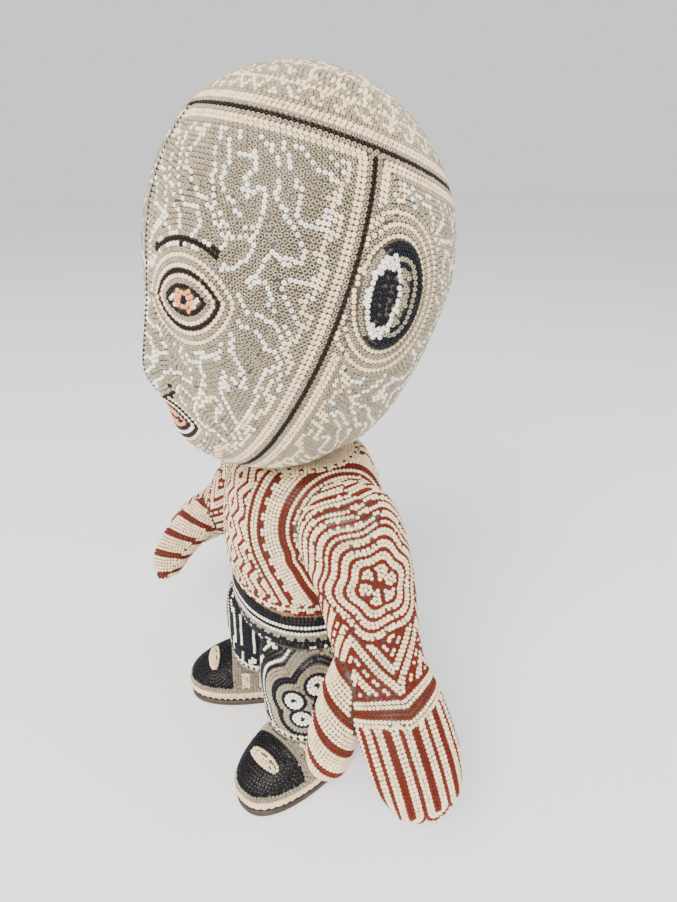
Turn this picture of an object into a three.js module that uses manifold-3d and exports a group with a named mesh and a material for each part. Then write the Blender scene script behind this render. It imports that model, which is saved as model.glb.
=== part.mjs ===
// Beaded figure: a big-headed standing figure whose cores are coated with wax and covered with glass beads.
// Millimetres, +Z up. It faces -Y and its left side is +X. The head turns on a dowel; the rest is glued.
import * as THREE from 'three';
import { mergeVertices } from 'three/addons/utils/BufferGeometryUtils.js';
import Module from 'manifold-3d';

const wasm = await Module();
wasm.setup();

// ---- Driving dimensions -------------------------------------------------------------------------------
const GAP = 0.3;               // glue line or running clearance between neighbouring pieces
const MERGE = 0.06;            // near-flat facets closer than this are joined
const REACH = 400;             // half the size of a cutting block, past every face
const BEAD = 1.5;              // thickness of the bead skin
const WAX = 1.0;               // thickness of the wax coat under the beads
const WAX_TOP = BEAD + GAP;    // depth of the wax surface below the outer surface
const WAX_FLOOR = WAX_TOP + WAX;
const CORE_TOP = WAX_FLOOR + GAP;

const CHIN_Z = 185;            // underside of the head
const HEAD_HALF_HEIGHT = 85;
const HEAD_Z = CHIN_Z + HEAD_HALF_HEIGHT;
const HEAD_HALF_WIDTH = 71;
const HEAD_FRONT = 70;         // depth of the head in front of the neck axis
const HEAD_BACK = 68;          // mean depth behind it
const HEAD_WALL = 5;           // moulded shell
const HEAD_ROUNDNESS = 2.2;    // exponent of the head's upright outline, 2 is an ellipse
const JAW_FULLNESS = 2.0;      // added to the exponent under the face

const CROWN_SEAM_Z = HEAD_Z + 54.5;   // crown seam height over the neck axis
const CROWN_SEAM_SLOPE = 0.33; // it falls towards the back
const SIDE_SEAM_Z = HEAD_Z + 39;      // height at which the side seam's plane crosses the neck axis
const SIDE_SEAM_SLOPE = 0.37;  // it runs forward as it comes down
const SEAM_WIDTH = 2.2;        // one bead row

const NECK_RADIUS = 24;        // opening under the head
const NECK_RING_RADIUS = 30;
const SOCKET_FOOT_Z = CHIN_Z + 4;
const SOCKET_TOP_Z = CHIN_Z + 34;
const NECK_TOP_Z = CHIN_Z - 1.5;
const SHOULDER_Z = 181;
const WAIST_Z = 108;
const BELT_FOOT_Z = 90;
const CROTCH_Z = 72;
const HEM_Z = 31;
const SOLE = 4;
const LEG_X = 28.5;
const LEG_Y = -13;
const BOOT_X = 33;
const BOOT_Y = -16;
const BOOT_SPLAY = 18 * Math.PI / 180;
const ARM_PIVOT = [46, 0, 160];
const LEFT_ARM_SWING = 12;     // degrees the left arm is carried back
const LEFT_ARM_LIFT = 3;
const RIGHT_ARM_SWING = -7;    // the right arm is carried forward
const RIGHT_ARM_LIFT = 9;      // and held a little higher

const DOWEL = 5;               // radius of the body dowels
const NECK_DOWEL = 9;          // the head turns on this one
const NECK_DOWEL_FOOT_Z = 150;
const NECK_DOWEL_TOP_Z = CHIN_Z + 28; // the end of the dowel carries the head
const WAIST_DOWEL_FOOT_Z = 85;
const WAIST_DOWEL_TOP_Z = 130;
const ANKLE_DOWEL_FOOT_Z = 12;
const ANKLE_DOWEL_TOP_Z = HEM_Z + 20;
const SHOULDER_DOWEL_INNER = [20, 0, 160];
const SHOULDER_DOWEL_OUTER = [60, -2, 150];

// ---- Colours and surface values ------------------------------------------------------------------------
const SILVER = { color: 0xb9b5a6, roughness: 0.3, metalness: 0.1 };
const CREAM = { color: 0xeadcc0, roughness: 0.35, metalness: 0 };
const BROWN = { color: 0x33201b, roughness: 0.35, metalness: 0 };
const NAVY = { color: 0x22242f, roughness: 0.3, metalness: 0 };
const PEACH = { color: 0xe8a878, roughness: 0.4, metalness: 0 };
const WAX_AMBER = { color: 0x8a6a3c, roughness: 0.55, metalness: 0 };
const RESIN = { color: 0xd9d2c2, roughness: 0.6, metalness: 0 };
const WOOD = { color: 0xb98f5e, roughness: 0.75, metalness: 0 };
const SOLE_RUBBER = { color: 0x2c1c16, roughness: 0.7, metalness: 0 };

// ---- Solids --------------------------------------------------------------------------------------------
function solidOf(geometry) {
  const bare = geometry.clone();
  bare.deleteAttribute('normal');
  bare.deleteAttribute('uv');
  const merged = mergeVertices(bare, 1e-4);
  const triVerts = new Uint32Array(merged.index.array);
  const vertProperties = new Float32Array(merged.attributes.position.array);
  return new wasm.Manifold(new wasm.Mesh({ numProp: 3, vertProperties, triVerts }));
}

function geometryOf(solid) {
  const mesh = solid.getMesh();
  const geometry = new THREE.BufferGeometry();
  geometry.setAttribute('position', new THREE.BufferAttribute(new Float32Array(mesh.vertProperties), 3));
  geometry.setIndex(new THREE.BufferAttribute(new Uint32Array(mesh.triVerts), 1));
  geometry.computeVertexNormals();
  return geometry;
}

// Closes a stack of rings, each a list of points, into one solid with a point at each end.
function solidFromRings(rings, startPoint, endPoint) {
  const count = rings[0].length;
  const points = [startPoint, ...rings.flat(), endPoint];
  const last = points.length - 1;
  const index = [];
  for (let j = 0; j < count; j += 1) {
    const next = (j + 1) % count;
    index.push(0, 1 + next, 1 + j);
    for (let i = 0; i + 1 < rings.length; i += 1) {
      const low = 1 + i * count;
      const high = low + count;
      index.push(low + j, low + next, high + next, low + j, high + next, high + j);
    }
    const top = 1 + (rings.length - 1) * count;
    index.push(last, top + j, top + next);
  }
  const geometry = new THREE.BufferGeometry();
  geometry.setAttribute('position', new THREE.Float32BufferAttribute(points.flat(), 3));
  geometry.setIndex(index);
  return solidOf(geometry);
}

// Superellipse in the unit circle, as [cos, sin] of an angle.
function superPoint(angle, exponent) {
  const c = Math.cos(angle);
  const s = Math.sin(angle);
  const scale = (Math.abs(c) ** exponent + Math.abs(s) ** exponent) ** (-1 / exponent);
  return [c * scale, s * scale];
}

// A limb follows its stations [x, y, z, half thickness, half depth]. Its sections stand square to the path,
// with their depth lying towards Y. The inset shrinks the sections and draws both ends in.
function limb(stations, inset, ringCount, segments, exponent = 2) {
  const path = new THREE.CatmullRomCurve3(stations.map(([x, y, z]) => new THREE.Vector3(x, y, z)));
  const sizes = new THREE.CatmullRomCurve3(stations.map((s) => new THREE.Vector3(s[3], s[4], 0)));
  const rings = [];
  const ends = [];
  for (let i = 0; i < ringCount; i += 1) {
    const t = i / (ringCount - 1);
    const tangent = path.getTangent(t);
    const across = new THREE.Vector3().crossVectors(new THREE.Vector3(0, 1, 0), tangent).normalize();
    const depth = new THREE.Vector3().crossVectors(tangent, across);
    const centre = path.getPoint(t).addScaledVector(tangent, inset * ((1 - t) ** 4 - t ** 4));
    const size = sizes.getPoint(t);
    const half = [Math.max(size.x - inset, 0.4), Math.max(size.y - inset, 0.4)];
    const ring = [];
    for (let j = 0; j < segments; j += 1) {
      const [c, s] = superPoint((2 * Math.PI * j) / segments, exponent);
      const point = centre.clone().addScaledVector(across, half[0] * c).addScaledVector(depth, half[1] * s);
      ring.push(point.toArray());
    }
    rings.push(ring);
    ends.push(centre.toArray());
  }
  return solidFromRings(rings, ends[0], ends[ringCount - 1]);
}

function cylinder(radius, from, to, segments = 12) {
  const start = new THREE.Vector3(...from);
  const end = new THREE.Vector3(...to);
  const length = start.distanceTo(end);
  const geometry = new THREE.CylinderGeometry(radius, radius, length, segments);
  const turn = new THREE.Quaternion().setFromUnitVectors(
    new THREE.Vector3(0, 1, 0), end.clone().sub(start).normalize());
  geometry.applyQuaternion(turn);
  const middle = start.add(end).multiplyScalar(0.5);
  geometry.translate(middle.x, middle.y, middle.z);
  return solidOf(geometry);
}

function box(low, high) {
  const size = high.map((value, axis) => value - low[axis]);
  const geometry = new THREE.BoxGeometry(...size);
  geometry.translate(...low.map((value, axis) => value + size[axis] / 2));
  return solidOf(geometry);
}

// A block of everything under the plane z = height + slope * y
function below(height, slope) {
  const geometry = new THREE.BoxGeometry(2 * REACH, 2 * REACH, 2 * REACH);
  geometry.translate(0, 0, -REACH);
  geometry.rotateX(Math.atan(slope));
  geometry.translate(0, 0, height);
  return solidOf(geometry);
}

// Everything between two heights
function slab(low, high) {
  return box([-REACH, -REACH, low], [REACH, REACH, high]);
}

// Everything on the left of the middle, short of it by a margin
function leftOf(margin) {
  return box([margin, -REACH, -REACH], [REACH, REACH, REACH]);
}

function mirrored(solid) {
  return solid.mirror([1, 0, 0]);
}

function shell(outer, inner) {
  return outer.subtract(inner);
}

// ---- Assembly list -------------------------------------------------------------------------------------
const figure = new THREE.Group();
figure.name = 'beaded_figure';

// Grazing cuts can leave a loose flake of no thickness, so only the piece itself is kept.
function add(name, solid, surface) {
  const [piece] = solid.simplify(MERGE).decompose().sort((one, other) => other.volume() - one.volume());
  const mesh = new THREE.Mesh(geometryOf(piece), new THREE.MeshStandardMaterial(surface));
  mesh.name = name;
  figure.add(mesh);
}

// ---- Head ----------------------------------------------------------------------------------------------
// The head is an upright superellipse turned about its axis, fuller behind the crown, drawn in at the nape
// and narrower at the jaw, with a soft nose, brow and chin.
function bump(value, centre, width) {
  return Math.exp(-(((value - centre) / width) ** 2));
}

const EYE_Z = HEAD_Z;                                   // halfway up the head
const NOSE_Z = (EYE_Z + CHIN_Z) / 2;                    // base of the nose
const MOUTH_Z = NOSE_Z - (NOSE_Z - CHIN_Z) / 3;

function headSurface(polar, around) {
  const height = Math.cos(polar);
  const jaw = Math.max(0, -height);
  const x = Math.sin(around);
  const y = -Math.cos(around);
  const exponent = HEAD_ROUNDNESS + JAW_FULLNESS * jaw * Math.max(0, -y);
  const ring = (1 - Math.abs(height) ** exponent) ** (1 / exponent);
  const width = HEAD_HALF_WIDTH * (1 - 0.12 * jaw ** 2);
  const front = HEAD_FRONT;
  const back = HEAD_BACK + 5 * Math.sin(Math.PI * (height + 0.1)) - 18 * jaw;
  const depth = y < 0 ? front : back;
  const z = HEAD_Z + HEAD_HALF_HEIGHT * height;
  const facing = Math.max(0, -y) ** 2;
  const nose = 9 * facing * bump(z, NOSE_Z + 6, 13) * bump(x, 0, 0.2)
    + 4 * facing * bump(z, NOSE_Z + 22, 18) * bump(x, 0, 0.17);
  const chin = 3 * facing * bump(z, CHIN_Z + 18, 12) * bump(x, 0, 0.3);
  return new THREE.Vector3(width * x * ring, depth * y * ring - (nose + chin) * ring, z);
}

// A point the inset's depth under the head's surface, measured square to it
function headPoint(polar, around, inset) {
  const point = headSurface(polar, around);
  const step = 0.01;
  const up = headSurface(polar - step, around).sub(headSurface(polar + step, around));
  const aside = headSurface(polar, around + step).sub(headSurface(polar, around - step));
  const normal = new THREE.Vector3().crossVectors(aside, up).normalize();
  return point.addScaledVector(normal, -inset).toArray();
}

function headSolid(inset, ringCount = 12, segments = 20) {
  const rings = [];
  for (let i = 1; i < ringCount; i += 1) {
    const polar = Math.PI * (1 - i / ringCount);
    const ring = [];
    for (let j = 0; j < segments; j += 1) {
      const even = (2 * Math.PI * j) / segments;
      ring.push(headPoint(polar, even - 0.55 * Math.sin(even), inset));
    }
    rings.push(ring);
  }
  const reach = HEAD_HALF_HEIGHT - inset;
  return solidFromRings(rings, [0, 0, HEAD_Z - reach], [0, 0, HEAD_Z + reach]);
}

function buildHead() {
  const outer = headSolid(0);
  const skinFloor = headSolid(BEAD);
  const waxTop = headSolid(WAX_TOP);
  const waxFloor = headSolid(WAX_FLOOR);
  const coreTop = headSolid(CORE_TOP);
  const coreFloor = headSolid(CORE_TOP + HEAD_WALL, 7, 12);
  const bottom = CHIN_Z - 5;
  const neckHole = cylinder(NECK_RADIUS, [0, 0, bottom], [0, 0, SOCKET_TOP_Z + 20], 24);

  // Moulded shell in two halves, with the neck socket glued in the opening
  const socketRadius = NECK_RADIUS - GAP;
  const moulding = shell(coreTop, coreFloor).subtract(neckHole);
  const frontHalf = box([-REACH, -REACH, 0], [REACH, -GAP / 2, REACH]);
  const rearHalf = box([-REACH, GAP / 2, 0], [REACH, REACH, REACH]);
  add('head_shell_front', moulding.intersect(frontHalf), RESIN);
  add('head_shell_rear', moulding.intersect(rearHalf), RESIN);
  const socket = cylinder(socketRadius, [0, 0, SOCKET_FOOT_Z], [0, 0, SOCKET_TOP_Z], 24)
    .subtract(cylinder(NECK_DOWEL + GAP, [0, 0, bottom], [0, 0, NECK_DOWEL_TOP_Z], 16));
  add('neck_socket', socket, WOOD);
  add('head_wax', shell(waxTop, waxFloor).subtract(neckHole), WAX_AMBER);

  // Bead skins, laid up to the seam rows
  const skin = shell(outer, skinFloor).subtract(neckHole);
  const halfRow = SEAM_WIDTH / 2;
  const crownTilt = -CROWN_SEAM_SLOPE;
  const crownTop = below(CROWN_SEAM_Z + halfRow, crownTilt);
  const crownBottom = below(CROWN_SEAM_Z - halfRow, crownTilt);
  const cap = skin.subtract(below(CROWN_SEAM_Z + halfRow + GAP, crownTilt));
  add('crown_beads', cap, SILVER);
  add('crown_seam_beads', skin.intersect(crownTop).subtract(crownBottom), BROWN);
  const lower = skin.intersect(below(CROWN_SEAM_Z - halfRow - GAP, crownTilt));

  // Side seam plane: y = (z - SIDE_SEAM_Z) * SIDE_SEAM_SLOPE, so z = SIDE_SEAM_Z + y / SIDE_SEAM_SLOPE
  const steep = 1 / SIDE_SEAM_SLOPE;
  const rise = (offset) => below(SIDE_SEAM_Z + offset * Math.hypot(1, steep), steep);
  const seam = lower.intersect(rise(halfRow)).subtract(rise(-halfRow));
  const behind = lower.intersect(rise(-halfRow - GAP));
  const before = lower.subtract(rise(halfRow + GAP));
  const centre = box([-halfRow, -REACH, MOUTH_Z], [halfRow, 0, REACH]);
  const centreGap = box([-halfRow - GAP, -REACH, MOUTH_Z], [halfRow + GAP, 0, REACH]);
  const face = before.subtract(centreGap).subtract(mouthPlug(GAP));
  add('centre_seam_beads', before.intersect(centre).subtract(mouthPlug(GAP)), BROWN);
  add('mouth_beads', before.intersect(mouthPlug(0)), PEACH);
  for (const side of ['left', 'right']) {
    const half = onSide(side, leftOf(GAP / 2));
    const eye = (grow) => onSide(side, eyePlug(grow));
    const ear = (grow) => onSide(side, earPlug(grow));
    add(`${side}_seam_beads`, seam.intersect(half), BROWN);
    add(`${side}_face_beads`, face.intersect(half).subtract(eye(GAP)), SILVER);
    add(`${side}_eye_beads`, before.intersect(eye(0)), BROWN);
    add(`${side}_rear_beads`, behind.intersect(half).subtract(ear(GAP)), SILVER);
    const earBed = headSolid(WAX_TOP - GAP);
    add(`${side}_ear`, ear(0).subtract(earBed).intersect(headSolid(-EAR_RISE)), NAVY);
  }
}

function onSide(side, solid) {
  return side === 'left' ? solid : mirrored(solid);
}

// Upright outline in the YZ or XZ plane, pushed through the head wall.
function plug(shape, depth, place) {
  const geometry = new THREE.ExtrudeGeometry(shape, { depth, bevelEnabled: false, curveSegments: 5 });
  place(geometry);
  return solidOf(geometry);
}

// Almond eye, one fifth of the head's width, halfway up the head
const EYE_HALF_WIDTH = HEAD_HALF_WIDTH / 5 + 5;
const EYE_HALF_HEIGHT = 12;
const EYE_X = 31;

function almond(halfWidth, halfHeight) {
  const shape = new THREE.Shape();
  shape.moveTo(-halfWidth, 0);
  shape.quadraticCurveTo(0, 2 * halfHeight, halfWidth, 0);
  shape.quadraticCurveTo(0, -2 * halfHeight, -halfWidth, 0);
  return shape;
}

function eyePlug(grow) {
  return plug(almond(EYE_HALF_WIDTH + 1.6 * grow, EYE_HALF_HEIGHT + grow), 100, (g) => {
    g.rotateX(Math.PI / 2);
    g.translate(EYE_X, 0, EYE_Z);
  });
}

const MOUTH_HALF_WIDTH = 19;
const MOUTH_HALF_HEIGHT = 7;

function mouthPlug(grow) {
  return plug(almond(MOUTH_HALF_WIDTH + 2 * grow, MOUTH_HALF_HEIGHT + grow), 100, (g) => {
    g.rotateX(Math.PI / 2);
    g.translate(0, 0, MOUTH_Z);
  });
}

// Ear: a low relief between the brow line and the base of the nose, just behind the side seam
const EAR_Y = 6;
const EAR_Z = EYE_Z + 2;
const EAR_HALF_WIDTH = 15;
const EAR_HALF_HEIGHT = 21;
const EAR_RISE = 3.2;
const EAR_LEAN = -0.28;

function earPlug(grow) {
  const shape = new THREE.Shape();
  shape.absellipse(0, 0, EAR_HALF_WIDTH + grow, EAR_HALF_HEIGHT + grow, 0, 2 * Math.PI, false, 0);
  return plug(shape, 60, (g) => {
    g.rotateZ(EAR_LEAN);
    g.rotateX(Math.PI / 2);
    g.rotateZ(Math.PI / 2);
    g.translate(40, EAR_Y, EAR_Z);
  });
}

// ---- Body ----------------------------------------------------------------------------------------------
const TORSO = [
  [0, -2, WAIST_Z - 6, 43.5, 37.5], [0, -3, 128, 46, 41], [0, -2, 150, 47, 41], [0, 0, 168, 45, 38],
  [0, 1, 180, 36, 32], [0, 1, SHOULDER_Z + 3, 28, 27],
];
const PELVIS = [
  [0, -5, CROTCH_Z, 36, 27], [0, -4, 82, 45, 36], [0, -3, 95, 46, 39], [0, -2, WAIST_Z + 6, 44, 38],
];
const ARM = [
  [31, -2, 156, 15, 19], [47, 0, 158, 24, 26], [59, -2, 138, 22, 24.5], [68, -7, 116, 20, 22.5],
  [79, -12, 99, 17.5, 21], [94, -15, 84, 16, 22.5], [107, -18, 67, 14, 22.5], [116, -20, 51, 10, 17],
  [120, -21, 43, 3, 6],
];
const THUMB = [
  [72, -16, 110, 11, 11], [76, -32, 93, 12.5, 12.5], [77, -44, 76, 12.5, 12], [76, -51, 60, 10.5, 10],
  [75, -54, 51, 3, 3],
];
const LEG = [
  [LEG_X, LEG_Y, HEM_Z - 6, 25, 25], [LEG_X, LEG_Y, 45, 26, 27], [LEG_X, LEG_Y + 1, 62, 27, 29],
  [LEG_X - 2, LEG_Y + 4, 80, 24, 30], [LEG_X - 4, LEG_Y + 6, 90, 17, 24],
];

function torsoSolid(inset) {
  return limb(TORSO, inset, 6, 16, 2.2).intersect(slab(WAIST_Z, REACH));
}

function armSolid(inset, swing = LEFT_ARM_SWING, lift = LEFT_ARM_LIFT) {
  const arm = limb(ARM, inset, 8, 10).add(limb(THUMB, inset, 4, 7));
  const [x, y, z] = ARM_PIVOT;
  return arm.translate([-x, -y, -z]).rotate([swing, -lift, 0]).translate([x, y, z]);
}

function rightArmSolid(inset) {
  return mirrored(armSolid(inset, RIGHT_ARM_SWING, RIGHT_ARM_LIFT));
}

// Shoulder dowel, running out from the torso core into the arm core
function shoulderDowel(side, radius, trim) {
  const [innerX, ...inner] = SHOULDER_DOWEL_INNER;
  const [outerX, ...outer] = SHOULDER_DOWEL_OUTER;
  return onSide(side, cylinder(radius, [innerX + trim, ...inner], [outerX - trim, ...outer]));
}

// Bore for the waist dowel, up through the hips into the torso
function waistHole() {
  return cylinder(DOWEL + GAP, [0, 0, 0], [0, 0, WAIST_DOWEL_TOP_Z]);
}

function buildTorso(armsOuter) {
  const arms = armsOuter(-GAP);
  const ring = cylinder(NECK_RING_RADIUS, [0, 0, SHOULDER_Z - 20], [0, 0, SHOULDER_Z + 20], 24);
  const ringGap = cylinder(NECK_RING_RADIUS + GAP, [0, 0, SHOULDER_Z - 20], [0, 0, SHOULDER_Z + 20], 24);
  const dowelHole = cylinder(NECK_DOWEL + GAP, [0, 0, NECK_DOWEL_FOOT_Z], [0, 0, REACH], 16);
  const core = ['left', 'right'].reduce(
    (solid, side) => solid.subtract(shoulderDowel(side, DOWEL + GAP, 0)),
    torsoSolid(CORE_TOP).subtract(dowelHole).subtract(waistHole()));
  const ceiling = slab(0, NECK_TOP_Z);
  add('torso_core', core, WOOD);
  const neckDowelFoot = [0, 0, NECK_DOWEL_FOOT_Z + GAP];
  add('neck_dowel', cylinder(NECK_DOWEL, neckDowelFoot, [0, 0, NECK_DOWEL_TOP_Z - GAP], 16), WOOD);
  add('waist_dowel', cylinder(DOWEL, [0, 0, WAIST_DOWEL_FOOT_Z], [0, 0, WAIST_DOWEL_TOP_Z - GAP]), WOOD);
  const coreGap = torsoSolid(WAX_FLOOR);
  const open = (solid) => solid.subtract(arms).subtract(dowelHole).intersect(ceiling);
  add('torso_wax', open(shell(torsoSolid(WAX_TOP), coreGap)), WAX_AMBER);
  const skin = open(shell(torsoSolid(0), torsoSolid(BEAD)));
  add('torso_beads', skin.subtract(ringGap), CREAM);
  add('neck_ring_beads', skin.intersect(ring), CREAM);
}

function buildArm(side, arm, torso) {
  const core = arm(CORE_TOP).subtract(torso(WAX_FLOOR));
  add(`${side}_arm_core`, core.subtract(shoulderDowel(side, DOWEL + GAP, 0)), WOOD);
  add(`${side}_shoulder_dowel`, shoulderDowel(side, DOWEL, GAP), WOOD);
  const body = torso(-GAP);
  add(`${side}_arm_wax`, shell(arm(WAX_TOP), arm(WAX_FLOOR)).subtract(body), WAX_AMBER);
  add(`${side}_arm_beads`, shell(arm(0), arm(BEAD)).subtract(body), CREAM);
}

// The hips: one pelvis core under the torso, with a leg core glued to each side of it
function pelvisSolid(inset) {
  return limb(PELVIS, inset, 4, 16, 2.2).intersect(slab(0, WAIST_Z - GAP));
}

function legSolid(inset) {
  return limb(LEG, inset, 4, 12);
}

function buildHips() {
  add('pelvis_core', pelvisSolid(CORE_TOP).subtract(waistHole()), WOOD);
  const belt = slab(BELT_FOOT_Z, WAIST_Z - GAP).subtract(waistHole());
  const band = (solid) => solid.intersect(belt);
  add('belt_wax', band(shell(pelvisSolid(WAX_TOP), pelvisSolid(WAX_FLOOR))), WAX_AMBER);
  add('belt_beads', band(shell(pelvisSolid(0), pelvisSolid(BEAD))), NAVY);
  const inner = pelvisSolid(WAX_FLOOR);
  const cuff = slab(HEM_Z, BELT_FOOT_Z - GAP);
  for (const side of ['left', 'right']) {
    const leg = (inset) => onSide(side, legSolid(inset));
    const half = onSide(side, leftOf(GAP / 2)).intersect(cuff);
    const foot = [side === 'left' ? LEG_X : -LEG_X, LEG_Y];
    const hole = cylinder(DOWEL + GAP, [...foot, 0], [...foot, ANKLE_DOWEL_TOP_Z]);
    const skin = (top, floor) => {
      const outer = leg(top).add(pelvisSolid(top));
      return shell(shell(outer, leg(floor)), pelvisSolid(floor)).intersect(half).subtract(hole);
    };
    add(`${side}_leg_core`, leg(CORE_TOP).subtract(inner).intersect(half).subtract(hole), WOOD);
    add(`${side}_trouser_wax`, skin(WAX_TOP, WAX_FLOOR), WAX_AMBER);
    add(`${side}_trouser_beads`, skin(0, BEAD), NAVY);
    const dowelTop = [...foot, ANKLE_DOWEL_TOP_Z - 1];
    add(`${side}_ankle_dowel`, cylinder(DOWEL, [...foot, ANKLE_DOWEL_FOOT_Z], dowelTop), WOOD);
  }
}

// Boots: a domed toe in front of the ankle, on a flat sole. Each is turned out from the leg.
const BOOT_FRONT = 51;         // toe in front of the ankle at the widest level
const BOOT_LEVELS = [
  // height, half width, toe reach, heel reach
  [SOLE, 21, BOOT_FRONT - 2, 27], [9, 23, BOOT_FRONT, 29], [16, 22.5, BOOT_FRONT - 2, 29],
  [23, 20, BOOT_FRONT - 10, 27], [28, 17.5, BOOT_FRONT - 24, 25], [HEM_Z - GAP, 16, 20, 24],
];

function bootOutline([z, halfWidth, toe, heel], inset, segments) {
  const ring = [];
  for (let j = 0; j < segments; j += 1) {
    const [c, s] = superPoint((2 * Math.PI * j) / segments, 2.4);
    const reach = s < 0 ? toe : heel;
    ring.push([(halfWidth - inset) * c, (reach - inset) * s, z]);
  }
  return ring;
}

function bootSolid(inset, segments = 12) {
  const levels = BOOT_LEVELS.map(([z, ...size], i) => {
    const lowered = (inset * i) / (BOOT_LEVELS.length - 1);
    return bootOutline([z - lowered, ...size], inset, segments);
  });
  const [first] = BOOT_LEVELS;
  const last = BOOT_LEVELS[BOOT_LEVELS.length - 1];
  return solidFromRings(levels, [0, 0, first[0]], [0, 0, last[0] - inset]);
}

function placeBoot(side, solid) {
  const turned = solid.rotate([0, 0, BOOT_SPLAY * 180 / Math.PI]).translate([BOOT_X, BOOT_Y, 0]);
  return onSide(side, turned);
}

const SOLE_OUTLINE = [21.5, BOOT_FRONT - 1, 28];
const CAP_Y = -21;             // upright cut between the toe cap and the rest of the boot
const WELT_TOP_Z = 8;
const ANKLE_OPENING = 14;      // bare round under the leg, where leg and boot are glued

function buildBoot(side) {
  const place = (solid) => placeBoot(side, solid);
  const soleTop = SOLE - GAP;
  const rings = [0, soleTop].map((z) => bootOutline([z, ...SOLE_OUTLINE], 0, 20));
  add(`${side}_sole`, place(solidFromRings(rings, [0, 0, 0], [0, 0, soleTop])), SOLE_RUBBER);
  const leg = [side === 'left' ? LEG_X : -LEG_X, LEG_Y];
  const hole = cylinder(DOWEL + GAP, [...leg, ANKLE_DOWEL_FOOT_Z - 1], [...leg, REACH]);
  add(`${side}_boot_core`, place(bootSolid(CORE_TOP)).subtract(hole), WOOD);
  const opening = place(cylinder(ANKLE_OPENING, [-8, 6, SOLE + 16], [-8, 6, REACH], 20));
  const coat = (high, low) => place(shell(bootSolid(high), bootSolid(low)))
    .subtract(hole).subtract(opening).intersect(slab(SOLE + 0.4, REACH));
  add(`${side}_boot_wax`, coat(WAX_TOP, WAX_FLOOR), WAX_AMBER);
  const skin = coat(0, BEAD);
  const upper = slab(WELT_TOP_Z + GAP, REACH);
  const toe = place(box([-REACH, -REACH, 0], [REACH, CAP_Y, REACH]));
  const toeGap = place(box([-REACH, -REACH, 0], [REACH, CAP_Y + GAP, REACH]));
  add(`${side}_welt_beads`, skin.intersect(slab(0, WELT_TOP_Z)), CREAM);
  add(`${side}_toe_cap_beads`, skin.intersect(upper).intersect(toe), NAVY);
  add(`${side}_boot_beads`, skin.intersect(upper).subtract(toeGap), SILVER);
}

function build() {
  buildHead();
  buildTorso((inset) => armSolid(inset).add(rightArmSolid(inset)));
  buildArm('left', armSolid, torsoSolid);
  buildArm('right', rightArmSolid, torsoSolid);
  buildHips();
  buildBoot('left');
  buildBoot('right');
}

build();

// The origin lies on the floor under the middle of the figure
const extent = new THREE.Box3().setFromObject(figure);
const middle = extent.getCenter(new THREE.Vector3());
figure.position.set(-middle.x, -middle.y, -extent.min.z);
figure.updateMatrixWorld(true);

export default figure;
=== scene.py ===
"""Looks of the beaded figure: every glass bead is its own small ring, seated in wax on the figure's skin.

Lengths are millimetres measured from the neck axis at floor level, and turn into metres when a mesh is made.
A skin is a fine triangle mesh of the outer surface. Fields are numbers over a skin's vertices: beads are laid
along the lines where a field is a whole number of rows, so a field's lines are the lines of the beadwork.
"""

import math

import bpy
import numpy as np
from mathutils import Matrix, Vector
from mathutils.bvhtree import BVHTree
from mathutils.kdtree import KDTree


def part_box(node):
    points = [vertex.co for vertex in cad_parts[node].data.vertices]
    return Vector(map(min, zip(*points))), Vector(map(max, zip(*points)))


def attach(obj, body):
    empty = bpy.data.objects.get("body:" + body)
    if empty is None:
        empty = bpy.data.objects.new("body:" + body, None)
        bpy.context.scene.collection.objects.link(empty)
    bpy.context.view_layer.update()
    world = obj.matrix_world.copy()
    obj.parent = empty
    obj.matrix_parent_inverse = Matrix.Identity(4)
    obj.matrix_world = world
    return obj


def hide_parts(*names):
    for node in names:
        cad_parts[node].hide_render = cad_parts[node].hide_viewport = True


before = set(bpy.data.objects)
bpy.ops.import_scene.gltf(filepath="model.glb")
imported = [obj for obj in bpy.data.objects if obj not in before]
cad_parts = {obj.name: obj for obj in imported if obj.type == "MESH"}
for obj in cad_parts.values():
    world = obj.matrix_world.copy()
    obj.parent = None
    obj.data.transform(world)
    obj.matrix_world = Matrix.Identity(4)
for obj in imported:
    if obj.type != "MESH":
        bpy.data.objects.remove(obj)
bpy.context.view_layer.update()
rng = np.random.default_rng(7)


def span(node):
    """Low and high corner of a CAD node, in millimetres from the neck axis."""
    low, high = (np.array(corner) * 1000 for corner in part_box(node))
    return low - AXIS, high - AXIS


AXIS = np.zeros(3)
dowel_low, dowel_high = span("neck_dowel")
AXIS = np.array([*(dowel_low + dowel_high)[:2] / 2, 0.0])

# ---- Sizes, as in the CAD model ----
BEAD_PITCH = 2.15              # beads on the head
BODY_PITCH = 2.0               # beads on the body
ROW_GAP = 0.9                  # pitches from row to row
HEAD_GAP = BEAD_PITCH * ROW_GAP
BODY_GAP = BODY_PITCH * ROW_GAP
BEAD_HEIGHT = 1.5
SEATING = 0.9                  # how far the wax lies under the tops of the beads
CLEAR = 0.3                    # bare skin left where one limb runs into another

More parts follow.
